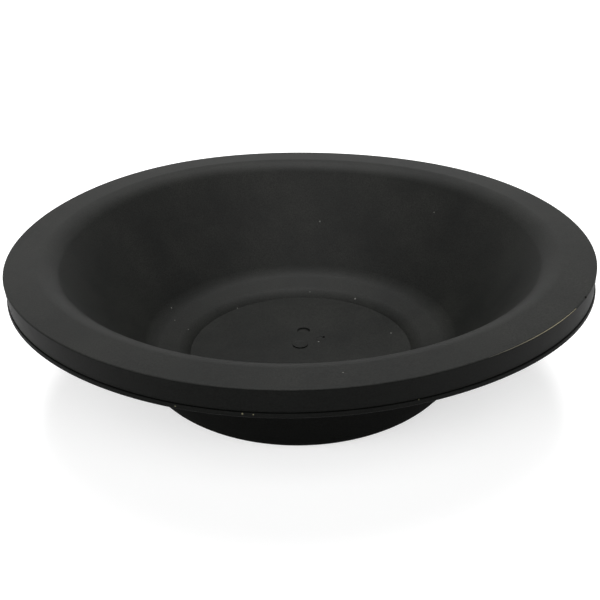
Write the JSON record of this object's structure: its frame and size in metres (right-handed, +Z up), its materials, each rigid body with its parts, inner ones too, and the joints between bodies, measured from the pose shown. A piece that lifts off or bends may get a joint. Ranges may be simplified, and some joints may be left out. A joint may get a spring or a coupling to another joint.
{
  "type": "hydraulic breaker diaphragm",
  "caption": "Bowl-shaped black rubber accumulator diaphragm with a wide flat clamping flange, steep wall, stepped floor and flat bottom.",
  "frame": {"origin": "middle of the flat bottom that the bowl rests on", "axes": "+Z up along the bowl's axis, out of its open side; the bowl is round, and the small marks on its floor lie towards +Y and +X"},
  "size_m": [0.2, 0.2, 0.056],
  "materials": {
    "black_rubber": "matt moulded black rubber with a faint sheen and a slight grey bloom"
  },
  "bodies": {
    "root": {"diaphragm": "black_rubber"}
  },
  "joints": []
}
